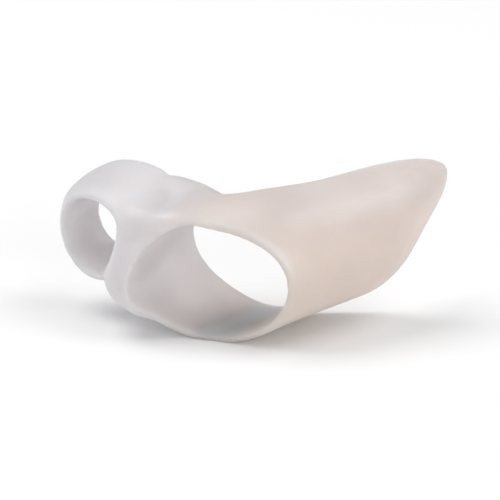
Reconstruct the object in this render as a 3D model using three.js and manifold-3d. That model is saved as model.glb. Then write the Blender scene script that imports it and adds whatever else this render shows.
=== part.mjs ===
// Gel bunion guard for a right foot. It is one soft moulding: a loop for the second
// toe, a spacer between the toes, a loop for the big toe, and a shield that sweeps back
// over the big toe's joint on the inner side of the foot.
// Millimetres, +Z up. The toes point along -Y and the big toe's outer side is +X.
// While it is built, the big toe's axis at the top of its rim is the origin. The
// finished guard is moved so that it stands on Z = 0 with its box centred on X and Y.

import * as THREE from 'three';
import Module from 'manifold-3d';
import { ParametricGeometry } from 'three/addons/geometries/ParametricGeometry.js';
import { mergeVertices } from 'three/addons/utils/BufferGeometryUtils.js';

// Toe holes
const bigToeWidth = 26.5;
const bigToeHeight = 21.5;
const secondToeWidth = 14.6;
const secondToeHeight = 13.5;
const secondToeRise = 4.9;
const secondToeSlope = 0.17;
const webThickness = 4.8;

// Gel walls
const loopWall = 2.5;
const padWall = 4;
const soleWall = 1.8;
const wallFill = 0.9;
const bigRimWall = 1.2;
const secondRimWall = 1.6;
const shieldEdgeWall = 1.1;
const swellPower = 0.65;
const solePress = 0.8;
const plugEase = 0.06;

// Lengths along the foot
const shieldReach = 47;
const rimSweep = 5;
const secondLoopLength = 13;
const spacerNose = 8;

// How the foot grows behind the big toe
const bunionBulge = 6.8;
const bunionRise = 8;
const instepRise = 10;
const ballDrop = 1;
const topOvalPower = 2.35;
const soleOvalPower = 1.92;

// Steps in the mesh
const bigLoopSteps = 84;
const secondLoopSteps = 52;
const skinSteps = 11;
const edgeSteps = 3;
const spacerRing = 36;
const spacerSteps = 22;
const hollowSteps = 40;

const toeSpacing = bigToeWidth / 2 + webThickness + secondToeWidth / 2;
const sole = -bigToeHeight / 2 - soleWall + solePress;

// Inner surface of the gel behind the rim, that is, the foot's own form. at is a share of
// shieldReach. side, top and under are shares of bunionBulge, instepRise and ballDrop,
// added to half of the toe's width and height. rise is the share of bunionRise by which
// the widest part of the foot lies above the toe's axis.
const footRows = [
  { at: -0.3, side: -0.1, top: -0.1, under: 0, rise: 0 },
  { at: 0, side: 0, top: 0, under: 0, rise: 0 },
  { at: 0.2, side: 0.18, top: 0.23, under: -0.3, rise: 0.4 },
  { at: 0.42, side: 0.54, top: 0.37, under: -0.1, rise: 0.64 },
  { at: 0.65, side: 1, top: 0.58, under: 1, rise: 0.88 },
  { at: 0.85, side: 1.02, top: 0.83, under: 1.3, rise: 1 },
  { at: 1.05, side: 0.9, top: 1.02, under: 1.2, rise: 1.05 },
];

// Big-toe loop and shield, once round the toe. angle is in degrees from +X towards +Z.
// front is a share of rimSweep and back a share of shieldReach. The wall is loopWall,
// grown towards padWall by the share pad and brought down to soleWall by the share thin.
// edge is the share of the thin shield edge against the loop's own. fill is the share of
// wallFill that thickens the wall where it meets the other loop, and where it rests.
const bigLoopRows = [
  { angle: -90, front: 0.3, back: 0.41, pad: 0, thin: 1, edge: 0.3, fill: 0.1 },
  { angle: -81, front: 0.4, back: 0.435, pad: 0, thin: 1, edge: 0.5, fill: 0 },
  { angle: -72, front: 0.52, back: 0.47, pad: 0, thin: 1, edge: 0.8, fill: 0 },
  { angle: -62, front: 0.7, back: 0.53, pad: 0, thin: 1, edge: 1, fill: 0 },
  { angle: -48, front: 0.85, back: 0.62, pad: 0.1, thin: 1, edge: 1, fill: 0 },
  { angle: -34, front: 0.95, back: 0.69, pad: 0.5, thin: 0.2, edge: 1, fill: 0 },
  { angle: -21, front: 1.02, back: 0.74, pad: 0.9, thin: 0, edge: 1, fill: 0 },
  { angle: -9, front: 1.05, back: 0.795, pad: 1, thin: 0, edge: 1, fill: 0 },
  { angle: 1, front: 1.02, back: 0.885, pad: 1, thin: 0, edge: 1, fill: 0 },
  { angle: 8, front: 0.98, back: 0.965, pad: 0.95, thin: 0, edge: 1, fill: 0 },
  { angle: 15, front: 0.9, back: 1, pad: 0.85, thin: 0, edge: 1, fill: 0 },
  { angle: 22, front: 0.82, back: 0.945, pad: 0.75, thin: 0, edge: 1, fill: 0 },
  { angle: 30, front: 0.7, back: 0.81, pad: 0.6, thin: 0, edge: 1, fill: 0 },
  { angle: 39, front: 0.56, back: 0.65, pad: 0.5, thin: 0, edge: 1, fill: 0 },
  { angle: 51, front: 0.38, back: 0.495, pad: 0.35, thin: 0, edge: 0.9, fill: 0 },
  { angle: 65, front: 0.2, back: 0.385, pad: 0.2, thin: 0, edge: 0.6, fill: 0 },
  { angle: 80, front: 0.06, back: 0.29, pad: 0.05, thin: 0, edge: 0.3, fill: 0 },
  { angle: 94, front: 0, back: 0.215, pad: 0, thin: 0, edge: 0.1, fill: 0 },
  { angle: 108, front: 0, back: 0.18, pad: 0, thin: 0, edge: 0, fill: 0.05 },
  { angle: 122, front: 0, back: 0.2, pad: 0, thin: 0, edge: 0, fill: 0.45 },
  { angle: 135, front: 0, back: 0.23, pad: 0, thin: 0, edge: 0, fill: 0.9 },
  { angle: 147, front: -0.05, back: 0.24, pad: 0, thin: 0, edge: 0, fill: 1 },
  { angle: 160, front: -0.4, back: 0.24, pad: 0, thin: 0, edge: 0, fill: 0.35 },
  { angle: 175, front: -0.9, back: 0.24, pad: 0, thin: 0, edge: 0, fill: 0 },
  { angle: 195, front: -1.1, back: 0.25, pad: 0, thin: 0, edge: 0, fill: 0.1 },
  { angle: 215, front: -0.85, back: 0.28, pad: 0, thin: 0, edge: 0, fill: 0.3 },
  { angle: 232, front: -0.4, back: 0.32, pad: 0, thin: 0, edge: 0, fill: 0.5 },
  { angle: 252, front: 0, back: 0.37, pad: 0, thin: 0.2, edge: 0.1, fill: 0.4 },
];

// Second-toe loop, once round the toe from the side that faces the big toe. front and
// back are shares of secondLoopLength. fill is the share of wallFill that thickens the
// wall where it meets the other loop, and at its outer shoulder.
const secondLoopRows = [
  { angle: -60, front: -0.3, back: 0.62, fill: 0.2 },
  { angle: -35, front: -0.32, back: 0.72, fill: 0.5 },
  { angle: -12, front: -0.34, back: 0.78, fill: 0 },
  { angle: 4, front: -0.33, back: 0.82, fill: 0 },
  { angle: 16, front: -0.3, back: 0.84, fill: 0.75 },
  { angle: 28, front: -0.28, back: 0.85, fill: 0.9 },
  { angle: 42, front: -0.26, back: 0.85, fill: 0.55 },
  { angle: 60, front: -0.24, back: 0.85, fill: 0.22 },
  { angle: 78, front: -0.22, back: 0.84, fill: 0 },
  { angle: 105, front: -0.2, back: 0.8, fill: 0.2 },
  { angle: 130, front: -0.18, back: 0.72, fill: 0.75 },
  { angle: 160, front: -0.18, back: 0.6, fill: 0.2 },
  { angle: 200, front: -0.2, back: 0.48, fill: 0 },
  { angle: 240, front: -0.24, back: 0.45, fill: 0 },
  { angle: 275, front: -0.28, back: 0.52, fill: 0 },
];

// Spacer and bridge, in slices from the second toe's centre to the big toe's. crest and
// heel are the heights of its upper surface at the front and the back, and foot that of
// its underside, as shares of the big toe's height. nose and lip are how far forward its
// face and its upper edge come, as shares of spacerNose, and tail is where it ends at the
// back, as a share of secondLoopLength.
const spacerRows = [
  { at: 0.1, crest: 0.4, heel: 0.56, foot: -0.1, nose: 0.45, lip: 0.2, tail: 0.72 },
  { at: 0.22, crest: 0.51, heel: 0.63, foot: -0.25, nose: 0.9, lip: 0.3, tail: 0.85 },
  { at: 0.34, crest: 0.5, heel: 0.635, foot: -0.35, nose: 1.12, lip: 0.32, tail: 0.93 },
  { at: 0.48, crest: 0.475, heel: 0.63, foot: -0.42, nose: 1.08, lip: 0.24, tail: 0.96 },
  { at: 0.62, crest: 0.495, heel: 0.645, foot: -0.45, nose: 0.74, lip: 0.12, tail: 0.88 },
  { at: 0.76, crest: 0.505, heel: 0.56, foot: -0.44, nose: 0.2, lip: 0, tail: 0.66 },
];

// Value of a table's column at any place between its rows, along a smooth line that
// never swings past a row. With a period the last row leads back to the first.
function readTable(rows, key, column, period = 0) {
  const places = rows.map((row) => row[key]);
  const values = rows.map((row) => row[column]);
  if (period) {
    places.push(places[0] + period);
    values.push(values[0]);
  }
  const last = places.length - 1;
  const slopes = places.slice(1).map((place, i) => (values[i + 1] - values[i]) / (place - places[i]));
  const tangent = (i) => {
    const before = i > 0 ? slopes[i - 1] : period ? slopes[last - 1] : slopes[0];
    const after = i < last ? slopes[i] : period ? slopes[0] : slopes[last - 1];
    return before * after > 0 ? (2 * before * after) / (before + after) : 0;
  };
  return (place) => {
    let x = place;
    if (period) x = places[0] + THREE.MathUtils.euclideanModulo(place - places[0], period);
    x = THREE.MathUtils.clamp(x, places[0], places[last]);
    let i = 0;
    while (i < last - 1 && x > places[i + 1]) i += 1;
    const step = places[i + 1] - places[i];
    const t = (x - places[i]) / step;
    const bend = t * t * (3 - 2 * t);
    const leave = t * (1 - t) * (1 - t) * step * tangent(i);
    const arrive = t * t * (t - 1) * step * tangent(i + 1);
    return values[i] + (values[i + 1] - values[i]) * bend + leave + arrive;
  };
}

const footSide = readTable(footRows, 'at', 'side');
const footTop = readTable(footRows, 'at', 'top');
const footUnder = readTable(footRows, 'at', 'under');
const footRise = readTable(footRows, 'at', 'rise');

// Distance from the centre of an oval hole to its wall, with its own reach to each side.
function ovalRadius(angle, reach) {
  const across = Math.cos(angle) / (Math.cos(angle) > 0 ? reach.right : reach.left);
  const upward = Math.sin(angle) / (Math.sin(angle) > 0 ? reach.up : reach.down);
  const power = upward > 0 ? topOvalPower : soleOvalPower;
  const sum = Math.abs(across) ** power + Math.abs(upward) ** power;
  return sum ** (-1 / power);
}

// The hole of the big toe, which goes on as the inner face of the shield.
const bigToeHole = {
  centre: (y) => ({ x: 0, z: bunionRise * footRise(y / shieldReach) }),
  reach: (y) => {
    const at = y / shieldReach;
    const rise = bunionRise * footRise(at);
    return {
      right: bigToeWidth / 2 + bunionBulge * footSide(at),
      left: bigToeWidth / 2,
      up: bigToeHeight / 2 + instepRise * footTop(at) - rise,
      down: bigToeHeight / 2 + ballDrop * footUnder(at) + rise,
    };
  },
};

const secondToeHole = {
  centre: (y) => ({ x: -toeSpacing, z: secondToeRise + secondToeSlope * y }),
  reach: () => ({
    right: secondToeWidth / 2,
    left: secondToeWidth / 2,
    up: secondToeHeight / 2,
    down: secondToeHeight / 2,
  }),
};

// A point on a hole's wall, or the given depth outside it.
function holePoint(hole, angle, y, depth, target) {
  const centre = hole.centre(y);
  const radius = ovalRadius(angle, hole.reach(y)) + depth;
  return target.set(centre.x + radius * Math.cos(angle), y, centre.z + radius * Math.sin(angle));
}

// The wall's cut once round: the outer skin, the rounded back edge, the inner skin and
// the rounded front edge. along runs from 0 at the front to 1 at the back, out is 1 on
// the outer skin and 0 on the inner one, and past is how far the point stands beyond
// the edge, as a share of the wall there.
function wallOutline() {
  const outline = [];
  for (let i = 0; i <= skinSteps; i += 1) {
    outline.push({ along: 0.5 - 0.5 * Math.cos((Math.PI * i) / skinSteps), out: 1, past: 0 });
  }
  for (let i = 1; i < edgeSteps; i += 1) {
    const turn = (Math.PI * i) / edgeSteps;
    outline.push({ along: 1, out: 0.5 + 0.5 * Math.cos(turn), past: 0.5 * Math.sin(turn) });
  }
  for (let i = 0; i <= skinSteps; i += 1) {
    outline.push({ along: 0.5 + 0.5 * Math.cos((Math.PI * i) / skinSteps), out: 0, past: 0 });
  }
  for (let i = 1; i < edgeSteps; i += 1) {
    const turn = (Math.PI * i) / edgeSteps;
    outline.push({ along: 0, out: 0.5 - 0.5 * Math.cos(turn), past: -0.5 * Math.sin(turn) });
  }
  return outline;
}

// A band of gel round a hole. edges gives its front and back, and wall its thickness
// there and in the middle, for each angle in degrees.
function gelBand(hole, edges, wall, steps) {
  const outline = wallOutline();
  const count = outline.length;
  const surface = (u, v, target) => {
    const degrees = 360 * (u % 1);
    const spot = (v % 1) * count;
    const low = Math.floor(spot) % count;
    const mix = spot - Math.floor(spot);
    const here = outline[low];
    const next = outline[(low + 1) % count];
    const along = THREE.MathUtils.lerp(here.along, next.along, mix);
    const out = THREE.MathUtils.lerp(here.out, next.out, mix);
    const past = THREE.MathUtils.lerp(here.past, next.past, mix);
    const edge = edges(degrees);
    const thick = wall(degrees);
    const rim = along < 0.5 ? thick.front : thick.back;
    const swell = Math.max(0, 4 * along * (1 - along)) ** swellPower;
    const depth = THREE.MathUtils.lerp(rim, thick.middle, swell);
    const y = THREE.MathUtils.lerp(edge.front, edge.back, along) + past * rim;
    return holePoint(hole, THREE.MathUtils.degToRad(degrees), y, depth * out, target);
  };
  return new ParametricGeometry(surface, steps, count);
}

// The space that a toe fills, a little wider than its hole, as a plug.
function hollowPlug(hole, depth, front, back) {
  const surface = (u, v, target) => {
    const angle = 2 * Math.PI * (u % 1);
    const end = v <= 0 || v >= 1;
    const along = THREE.MathUtils.clamp((v * hollowSteps - 1) / (hollowSteps - 2), 0, 1);
    const y = THREE.MathUtils.lerp(front, back, along);
    if (end) {
      const centre = hole.centre(y);
      return target.set(centre.x, y, centre.z);
    }
    return holePoint(hole, angle, y, depth, target);
  };
  return new ParametricGeometry(surface, hollowSteps, hollowSteps);
}

function bigLoopGeometry() {
  const column = (name) => readTable(bigLoopRows, 'angle', name, 360);
  const [front, back, pad, thin] = ['front', 'back', 'pad', 'thin'].map(column);
  const [edge, fill] = ['edge', 'fill'].map(column);
  const edges = (angle) => ({ front: rimSweep * front(angle), back: shieldReach * back(angle) });
  const wall = (angle) => {
    const filling = wallFill * fill(angle);
    const padding = (padWall - loopWall) * pad(angle) - (loopWall - soleWall) * thin(angle);
    return {
      front: bigRimWall + filling,
      middle: loopWall + padding + filling,
      back: THREE.MathUtils.lerp(secondRimWall, shieldEdgeWall, edge(angle)) + filling,
    };
  };
  return gelBand(bigToeHole, edges, wall, bigLoopSteps);
}

function secondLoopGeometry() {
  const column = (name) => readTable(secondLoopRows, 'angle', name, 360);
  const [front, back, fill] = ['front', 'back', 'fill'].map(column);
  const edges = (angle) => ({
    front: secondLoopLength * front(angle),
    back: secondLoopLength * back(angle),
  });
  const wall = (angle) => {
    const filling = wallFill * fill(angle);
    return {
      front: secondRimWall + filling,
      middle: loopWall + filling,
      back: secondRimWall + filling,
    };
  };
  return gelBand(secondToeHole, edges, wall, secondLoopSteps);
}

// The gel between the two toes and the bridge above it, before the toes are cut out. A
// slice goes from its underside up the nose, over the crest and down its end at the back.
// Its corners are shares of the way back and of the way up.
function spacerGeometry() {
  const column = (name) => readTable(spacerRows, 'at', name);
  const [crest, heel, foot] = ['crest', 'heel', 'foot'].map(column);
  const [nose, lip, tail] = ['nose', 'lip', 'tail'].map(column);
  const [first, last] = [spacerRows[0].at, spacerRows.at(-1).at];
  const outlineAt = (at) => {
    const high = bigToeHeight * crest(at);
    const rear = bigToeHeight * heel(at);
    const low = bigToeHeight * foot(at);
    const face = -spacerNose * nose(at);
    const brow = -spacerNose * lip(at);
    const end = secondLoopLength * tail(at);
    const corner = (along, height) => new THREE.Vector3(
      0,
      THREE.MathUtils.lerp(face, end, along),
      THREE.MathUtils.lerp(low, high, height),
    );
    const curve = new THREE.CatmullRomCurve3([
      corner(0.3, 0),
      corner(0.04, 0.16),
      corner(0, 0.42),
      new THREE.Vector3(0, brow, high),
      new THREE.Vector3(0, (brow + end) / 2, THREE.MathUtils.lerp(high, rear, 0.55)),
      new THREE.Vector3(0, end, rear),
      corner(0.93, 0.5),
      corner(0.8, 0.12),
    ], true, 'catmullrom', 0.4);
    return curve.getSpacedPoints(spacerRing);
  };
  const across = Math.floor(spacerRing / 2);
  const slices = Array.from({ length: spacerSteps + 1 }, (_, i) => (
    outlineAt(THREE.MathUtils.lerp(first, last, i / spacerSteps))
  ));
  const surface = (u, v, target) => {
    const level = THREE.MathUtils.clamp(v * (spacerSteps + 2) - 1, 0, spacerSteps);
    const slice = slices[Math.round(level)];
    const at = THREE.MathUtils.lerp(first, last, level / spacerSteps);
    const point = slice[Math.round(u * spacerRing) % spacerRing];
    target.set(toeSpacing * (at - 1), point.y, point.z);
    if (v <= 0 || v >= 1) {
      target.y = (slice[0].y + slice[across].y) / 2;
      target.z = (slice[0].z + slice[across].z) / 2;
    }
    return target;
  };
  return new ParametricGeometry(surface, spacerRing, spacerSteps + 2);
}

const wasm = await Module();
wasm.setup();

// A closed geometry as a solid, facing outwards, without triangles that close on a line.
function solidFrom(geometry) {
  const bare = geometry.clone();
  bare.deleteAttribute('normal');
  bare.deleteAttribute('uv');
  const merged = mergeVertices(bare, 1e-4);
  const corners = merged.index.array;
  const place = merged.attributes.position;
  const triangles = [];
  let volume = 0;
  const [a, b, c] = [new THREE.Vector3(), new THREE.Vector3(), new THREE.Vector3()];
  for (let i = 0; i < corners.length; i += 3) {
    const [p, q, r] = [corners[i], corners[i + 1], corners[i + 2]];
    if (p === q || q === r || r === p) continue;
    triangles.push(p, q, r);
    a.fromBufferAttribute(place, p);
    b.fromBufferAttribute(place, q);
    c.fromBufferAttribute(place, r);
    volume += a.dot(b.cross(c));
  }
  if (volume < 0) triangles.reverse();
  return new wasm.Manifold(new wasm.Mesh({
    numProp: 3,
    vertProperties: new Float32Array(place.array),
    triVerts: new Uint32Array(triangles),
  }));
}

function geometryFrom(solid) {
  const mesh = solid.getMesh();
  const geometry = new THREE.BufferGeometry();
  geometry.setAttribute('position', new THREE.BufferAttribute(mesh.vertProperties, 3));
  geometry.setIndex(new THREE.BufferAttribute(mesh.triVerts, 1));
  geometry.computeVertexNormals();
  return geometry;
}

// The whole moulding, pressed flat where its sole side rests.
function guardSolid() {
  const plugEnd = 2 * secondLoopLength;
  const spacer = solidFrom(spacerGeometry())
    .subtract(solidFrom(hollowPlug(bigToeHole, plugEase, -plugEnd, plugEnd)))
    .subtract(solidFrom(hollowPlug(secondToeHole, plugEase, -plugEnd, plugEnd)));
  const ground = new THREE.BoxGeometry(8 * bigToeWidth, 8 * bigToeWidth, bigToeHeight);
  ground.translate(0, 0, sole - bigToeHeight / 2);
  return solidFrom(bigLoopGeometry())
    .add(solidFrom(secondLoopGeometry()))
    .add(spacer)
    .subtract(solidFrom(ground));
}

const gel = new THREE.MeshStandardMaterial({ color: 0xe3deda, roughness: 0.42, metalness: 0 });

const guard = new THREE.Mesh(geometryFrom(guardSolid()), gel);
guard.name = 'gel_guard';
guard.geometry.computeBoundingBox();
const box = guard.geometry.boundingBox;
guard.position.set(-(box.min.x + box.max.x) / 2, -(box.min.y + box.max.y) / 2, -box.min.z);

const bunionGuard = new THREE.Group();
bunionGuard.add(guard);

export default bunionGuard;
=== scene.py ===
import math

import bmesh
import bpy
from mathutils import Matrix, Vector
from mathutils.bvhtree import BVHTree


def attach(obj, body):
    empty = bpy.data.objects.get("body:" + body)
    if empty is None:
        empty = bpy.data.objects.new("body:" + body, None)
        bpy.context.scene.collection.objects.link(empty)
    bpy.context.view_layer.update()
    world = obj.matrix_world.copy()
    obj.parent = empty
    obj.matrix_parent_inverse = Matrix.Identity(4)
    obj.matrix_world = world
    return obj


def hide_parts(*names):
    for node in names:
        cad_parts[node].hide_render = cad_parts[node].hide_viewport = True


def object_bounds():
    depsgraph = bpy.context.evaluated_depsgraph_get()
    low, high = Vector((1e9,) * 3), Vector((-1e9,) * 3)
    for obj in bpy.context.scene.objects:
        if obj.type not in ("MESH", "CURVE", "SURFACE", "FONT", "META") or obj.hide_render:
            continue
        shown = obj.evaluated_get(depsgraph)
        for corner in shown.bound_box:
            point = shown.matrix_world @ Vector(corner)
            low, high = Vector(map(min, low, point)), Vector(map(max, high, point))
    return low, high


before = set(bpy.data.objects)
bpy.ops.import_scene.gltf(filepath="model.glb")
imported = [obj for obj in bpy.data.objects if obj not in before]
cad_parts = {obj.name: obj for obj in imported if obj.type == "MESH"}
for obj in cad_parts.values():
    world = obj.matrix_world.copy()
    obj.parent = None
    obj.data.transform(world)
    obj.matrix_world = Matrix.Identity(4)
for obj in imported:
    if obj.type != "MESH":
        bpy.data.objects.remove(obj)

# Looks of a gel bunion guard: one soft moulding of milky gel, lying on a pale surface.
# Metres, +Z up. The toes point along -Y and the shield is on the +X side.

MM = 0.001

# Mesh of the moulding
MERGE_GAP = 0.001 * MM
SKIN_GRAIN = 0.36 * MM
MELT_PASSES = 30
MELT_ROUNDS = 12
MELT_RADIUS = 9 * MM
CALM_ROUNDS = 5
SMOOTH_SHARE = 0.5

# Gel walls that look thinnest and fullest, how deep their rays start, and rounds of spreading
THIN_WALL = 1.0 * MM
FULL_WALL = 4.5 * MM
UNDER_SKIN = 0.05 * MM
WALL_SPREAD = 10

# Tints of the gel in linear light, a near-white painted highlight for the thinnest walls, and the
# places between which the tints change
GEL_COOL = (0.82, 0.798, 0.815, 1)
GEL_WARM = (0.82, 0.725, 0.665, 1)
GEL_PALE = (0.775, 0.708, 0.685, 1)
# Near-white painted highlight for the thinnest walls at each rim
GEL_RIM_HIGHLIGHT = (0.97, 0.955, 0.95, 1)
WARM_FROM, WARM_TO = -12 * MM, 15 * MM
PALE_FROM, PALE_TO = 17 * MM, 27 * MM

# Painted highlight on the thin edges: the range of wall fullness it fades over, and how much of the
# near-white highlight colour the thinnest edge takes
RIM_HIGHLIGHT_FROM, RIM_HIGHLIGHT_TO = 0.02, 0.22
RIM_HIGHLIGHT_SHARE = 0.9

# Clouds in the gel and smears on its skin, from the middle of a noise, and finer ripples
NOISE_LOW, NOISE_HIGH = 0.3, 0.7
CLOUD_SCALE, CLOUD_DETAIL = 95, 3
CLOUD_DIM, CLOUD_BRIGHT = 0.955, 1.035
SMEAR_SCALE, SMEAR_DETAIL = 260, 4
SMEAR_SLEEK, SMEAR_DULL = 0.36, 0.5
RIPPLE_SCALE, RIPPLE_DETAIL = 700, 5
RIPPLE_STRENGTH = 0.12
RIPPLE_HEIGHT = 0.12 * MM

# How light goes through the gel and off its skin
GEL_IOR = 1.42
MILKINESS = 0.9
SCATTER_TINT = (1.0, 0.88, 0.78)
SCATTER_DEPTH = 3.6 * MM
CLEARNESS = 0.35
SHEEN_COAT = 0.18
SHEEN_ROUGHNESS = 0.3

# Floor
FLOOR_COLOUR = (0.95, 0.95, 0.95, 1)
FLOOR_ROUGHNESS = 0.75
FLOOR_GLOSS = 0.2
FLOOR_RADIUS = 2.5
FLOOR_SIDES = 96

# Round soft lights, metres and watts, and the even light of the room
LIGHTS = (
    dict(name="key_light", place=(-0.45, -0.12, 0.88), size=0.7, power=4.4, colour=(1, 0.99, 0.98)),
    dict(name="fill_light", place=(0.85, -0.35, 0.28), size=0.7, power=3.0, colour=(1, 0.985, 0.97)),
    dict(name="left_light", place=(-0.75, -0.6, 0.2), size=0.6, power=2.0, colour=(0.97, 0.98, 1)),
    dict(name="top_light", place=(0.4, 0.35, 0.8), size=0.6, power=2.7, colour=(1, 1, 1)),
)
ROOM_COLOUR = (0.94, 0.95, 0.97, 1)
ROOM_LIGHT = 0.42

# Camera, round from the toes' direction and up from the floor
CAMERA_AZIMUTH = math.radians(38)
CAMERA_ELEVATION = math.radians(22)
CAMERA_DISTANCE = 600 * MM
CAMERA_LENS = 229
CAMERA_DROP = -3.2 * MM
CAMERA_NEAR = 10 * MM
CAMERA_FAR = 10

cad_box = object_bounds()


def piece_from_mesh(bm, name):
    """A new object at the origin that holds the bmesh."""
    mesh = bpy.data.meshes.new(name)
    bm.to_mesh(mesh)
    bm.free()
    piece = bpy.data.objects.new(name, mesh)
    bpy.context.scene.collection.objects.link(piece)
    return piece


def apply_modifiers(piece):
    """Turns what the modifiers show into the piece's own mesh."""
    seen = piece.evaluated_get(bpy.context.evaluated_depsgraph_get())
    mesh = bpy.data.meshes.new_from_object(seen)
    piece.modifiers.clear()
    piece.data = mesh


def fine_skin(node, name):
    """A merged copy of the moulding, with an even fine mesh in place of its facets."""
    bm = bmesh.new()
    bm.from_mesh(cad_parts[node].data)
    bmesh.ops.remove_doubles(bm, verts=bm.verts, dist=MERGE_GAP)
    piece = piece_from_mesh(bm, name)
    remesh = piece.modifiers.new("fine_skin", "REMESH")
    remesh.mode = "VOXEL"
    remesh.voxel_size = SKIN_GRAIN
    remesh.use_smooth_shade = True
    apply_modifiers(piece)
    return piece


def smooth(bm, verts, rounds):
    """Moves each vertex part of the way to the middle of its neighbours, round after round."""
    for _ in range(rounds):
        bmesh.ops.smooth_vert(
            bm, verts=verts, factor=SMOOTH_SHARE, use_axis_x=True, use_axis_y=True, use_axis_z=True
        )


def crease_depth(vert):
    """How sharply the skin folds inwards at a vertex, as one over a radius."""
    others = [edge.other_vert(vert).co for edge in vert.link_edges]
    middle = sum(others, Vector()) / len(others)
    reach = sum((other - vert.co).length for other in others) / len(others)
    return 2 * (middle - vert.co).dot(vert.normal) / reach ** 2


def melt_creases(bm):
    """Fills the creases where the loops, the bridge and the spacer meet, as poured gel does."""
    for _ in range(MELT_PASSES):
        bm.normal_update()
        folded = [v for v in bm.verts if crease_depth(v) > 1 / MELT_RADIUS]
        smooth(bm, folded, MELT_ROUNDS)


def soften_skin(piece):
    """Melts the creases and calms the skin, and lets nothing go below the surface it lies on."""
    bm = bmesh.new()
    bm.from_mesh(piece.data)
    melt_creases(bm)
    smooth(bm, bm.verts, CALM_ROUNDS)
    for vert in bm.verts:
        vert.co.z = max(vert.co.z, 0)
    bmesh.ops.recalc_face_normals(bm, faces=bm.faces)
    bm.to_mesh(piece.data)
    bm.free()
    piece.data.shade_smooth()


def wall_fullness(bm):
    """How full the wall is at each vertex, from 0 at a thin rim to 1 in the pad."""
    tree = BVHTree.FromBMesh(bm)
    fullness = []
    for vert in bm.verts:
        start = vert.co - vert.normal * UNDER_SKIN
        depth = tree.ray_cast(start, -vert.normal)[3] or THIN_WALL
        share = (depth - THIN_WALL) / (FULL_WALL - THIN_WALL)
        fullness.append(min(max(share, 0), 1))
    neighbours = [[e.other_vert(v).index for e in v.link_edges] for v in bm.verts]
    for _ in range(WALL_SPREAD):
        fullness = [
            (fullness[i] + sum(fullness[n] for n in near)) / (1 + len(near))
            for i, near in enumerate(neighbours)
        ]
    return fullness


def note_walls(piece):
    """Keeps the fullness of the walls as an attribute that the gel's colour reads to paint a
    highlight on the thinnest walls.
    """
    bm = bmesh.new()
    bm.from_mesh(piece.data)
    bm.verts.ensure_lookup_table()
    bm.normal_update()
    fullness = wall_fullness(bm)
    bm.free()
    walls = piece.data.attributes.new("wall_fullness", "FLOAT", "POINT")
    walls.data.foreach_set("value", fullness)


def scaled(tree, value, low, high, to_low, to_high, smooth_step=True):
    """A value brought from one range to another, with soft ends if smooth_step is true."""
    ramp = tree.nodes.new("ShaderNodeMapRange")
    ramp.interpolation_type = "SMOOTHSTEP" if smooth_step else "LINEAR"
    ramp.inputs["From Min"].default_value = low
    ramp.inputs["From Max"].default_value = high
    ramp.inputs["To Min"].default_value = to_low
    ramp.inputs["To Max"].default_value = to_high
    tree.links.new(value, ramp.inputs["Value"])
    return ramp.outputs["Result"]


def mixed(tree, factor, first, second):
    """A colour between two others. The first may be a socket."""
    mix = tree.nodes.new("ShaderNodeMix")
    mix.data_type = "RGBA"
    if isinstance(first, bpy.types.NodeSocket):
        tree.links.new(first, mix.inputs["A"])
    else:
        mix.inputs["A"].default_value = first
    mix.inputs["B"].default_value = second
    tree.links.new(factor, mix.inputs["Factor"])
    return mix.outputs["Result"]


def noise(tree, place, scale, detail):
    """A noise through the gel, at its place on the object."""
    pattern = tree.nodes.new("ShaderNodeTexNoise")
    pattern.inputs["Scale"].default_value = scale
    pattern.inputs["Detail"].default_value = detail
    tree.links.new(place.outputs["Object"], pattern.inputs["Vector"])
    return pattern.outputs["Fac"]


def gel_tint(tree, place):
    """Cool over the toes, warmer on the shield and paler along the shield's top."""
    parts = tree.nodes.new("ShaderNodeSeparateXYZ")
    tree.links.new(place.outputs["Object"], parts.inputs["Vector"])
    warmth = scaled(tree, parts.outputs["X"], WARM_FROM, WARM_TO, 0, 1)
    paleness = scaled(tree, parts.outputs["Z"], PALE_FROM, PALE_TO, 0, 1)
    on_shield = tree.nodes.new("ShaderNodeMath")
    on_shield.operation = "MULTIPLY"
    tree.links.new(warmth, on_shield.inputs[0])
    tree.links.new(paleness, on_shield.inputs[1])
    tone = mixed(tree, warmth, GEL_COOL, GEL_WARM)
    return mixed(tree, on_shield.outputs["Value"], tone, GEL_PALE)


def clouded(tree, place, tone):
    """A tone with faint lighter and darker clouds in it."""
    pattern = noise(tree, place, CLOUD_SCALE, CLOUD_DETAIL)
    clouds = scaled(tree, pattern, NOISE_LOW, NOISE_HIGH, CLOUD_DIM, CLOUD_BRIGHT, False)
    cloudy = tree.nodes.new("ShaderNodeVectorMath")
    cloudy.operation = "SCALE"
    tree.links.new(tone, cloudy.inputs["Vector"])
    tree.links.new(clouds, cloudy.inputs["Scale"])
    return cloudy.outputs["Vector"]


def gel_colour(tree, place):
    """The clouded tint, with a painted highlight where the walls thin out towards a rim."""
    walls = tree.nodes.new("ShaderNodeAttribute")
    walls.attribute_name = "wall_fullness"
    # Painted highlight: the thinnest walls are mixed towards a near-white colour
    rim_highlight = scaled(tree, walls.outputs["Fac"], RIM_HIGHLIGHT_FROM, RIM_HIGHLIGHT_TO, RIM_HIGHLIGHT_SHARE, 0)
    return mixed(tree, rim_highlight, clouded(tree, place, gel_tint(tree, place)), GEL_RIM_HIGHLIGHT)


def gel_skin(tree, place, gel):
    """Satin skin, a little smeared and rippled."""
    smears = noise(tree, place, SMEAR_SCALE, SMEAR_DETAIL)
    satin = scaled(tree, smears, NOISE_LOW, NOISE_HIGH, SMEAR_SLEEK, SMEAR_DULL, False)
    tree.links.new(satin, gel.inputs["Roughness"])
    relief = tree.nodes.new("ShaderNodeBump")
    relief.inputs["Strength"].default_value = RIPPLE_STRENGTH
    relief.inputs["Distance"].default_value = RIPPLE_HEIGHT
    ripples = noise(tree, place, RIPPLE_SCALE, RIPPLE_DETAIL)
    tree.links.new(ripples, relief.inputs["Height"])
    tree.links.new(relief.outputs["Normal"], gel.inputs["Normal"])


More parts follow.
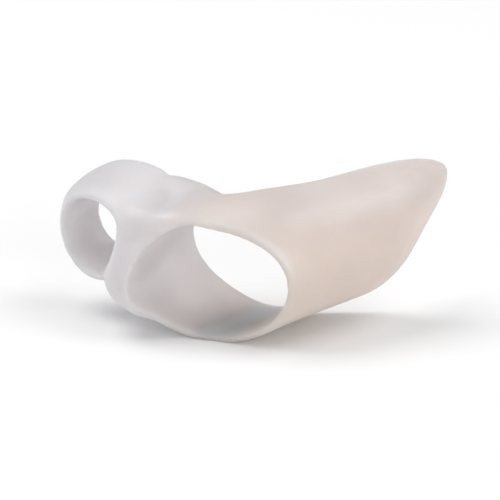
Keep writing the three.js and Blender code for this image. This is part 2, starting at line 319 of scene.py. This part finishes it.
def gel_material():
    """Milky, slightly clear gel with a satin skin."""
    material = bpy.data.materials.new("milky_gel")
    material.use_nodes = True
    tree = material.node_tree
    gel = tree.nodes["Principled BSDF"]
    place = tree.nodes.new("ShaderNodeTexCoord")
    tree.links.new(gel_colour(tree, place), gel.inputs["Base Color"])
    gel_skin(tree, place, gel)
    gel.inputs["Subsurface Weight"].default_value = MILKINESS
    gel.inputs["Subsurface Radius"].default_value = SCATTER_TINT
    gel.inputs["Subsurface Scale"].default_value = SCATTER_DEPTH
    gel.inputs["IOR"].default_value = GEL_IOR
    gel.inputs["Transmission Weight"].default_value = CLEARNESS
    gel.inputs["Coat Weight"].default_value = SHEEN_COAT
    gel.inputs["Coat Roughness"].default_value = SHEEN_ROUGHNESS
    return material


def floor_material():
    """Plain pale paint, almost without gloss."""
    material = bpy.data.materials.new("pale_floor")
    material.use_nodes = True
    paint = material.node_tree.nodes["Principled BSDF"]
    paint.inputs["Base Color"].default_value = FLOOR_COLOUR
    paint.inputs["Roughness"].default_value = FLOOR_ROUGHNESS
    paint.inputs["Specular IOR Level"].default_value = FLOOR_GLOSS
    return material


def gel_moulding():
    """The guard's one soft moulding."""
    piece = fine_skin("gel_guard", "gel_moulding")
    soften_skin(piece)
    note_walls(piece)
    piece.data.materials.clear()
    piece.data.materials.append(gel_material())
    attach(piece, "root")
    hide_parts("gel_guard")


def pale_floor():
    """The round surface that the guard lies on."""
    bm = bmesh.new()
    bmesh.ops.create_circle(bm, cap_ends=True, segments=FLOOR_SIDES, radius=FLOOR_RADIUS)
    floor = piece_from_mesh(bm, "pale_floor")
    floor.data.materials.append(floor_material())


def aim(thing, target):
    """Turns a light or a camera towards the target."""
    thing.rotation_mode = "QUATERNION"
    thing.rotation_quaternion = (target - thing.location).to_track_quat("-Z", "Y")


def soft_light(row, target):
    """One round soft light, from a row of LIGHTS."""
    light = bpy.data.lights.new(row["name"], "AREA")
    light.shape = "DISK"
    light.size = row["size"]
    light.energy = row["power"]
    light.color = row["colour"]
    lamp = bpy.data.objects.new(row["name"], light)
    bpy.context.scene.collection.objects.link(lamp)
    lamp.location = row["place"]
    aim(lamp, target)


def studio(target):
    """A broad key from the upper left, fills from right, left and top, and a pale room."""
    for row in LIGHTS:
        soft_light(row, target)
    world = bpy.data.worlds.new("pale_room")
    world.use_nodes = True
    room = world.node_tree.nodes["Background"]
    room.inputs["Color"].default_value = ROOM_COLOUR
    room.inputs["Strength"].default_value = ROOM_LIGHT
    bpy.context.scene.world = world
    bpy.context.scene.view_settings.view_transform = "Standard"


def camera(target):
    """The photo's view of the guard."""
    seen = bpy.data.cameras.new("camera")
    seen.lens = CAMERA_LENS
    seen.clip_start = CAMERA_NEAR
    seen.clip_end = CAMERA_FAR
    viewer = bpy.data.objects.new("camera", seen)
    bpy.context.scene.collection.objects.link(viewer)
    level = math.cos(CAMERA_ELEVATION)
    back = Vector((
        math.sin(CAMERA_AZIMUTH) * level,
        -math.cos(CAMERA_AZIMUTH) * level,
        math.sin(CAMERA_ELEVATION),
    ))
    viewer.location = target + back * CAMERA_DISTANCE
    aim(viewer, target)
    bpy.context.scene.camera = viewer


middle = (cad_box[0] + cad_box[1]) / 2
camera(middle + Vector((0, 0, CAMERA_DROP)))
studio(middle)
pale_floor()
gel_moulding()
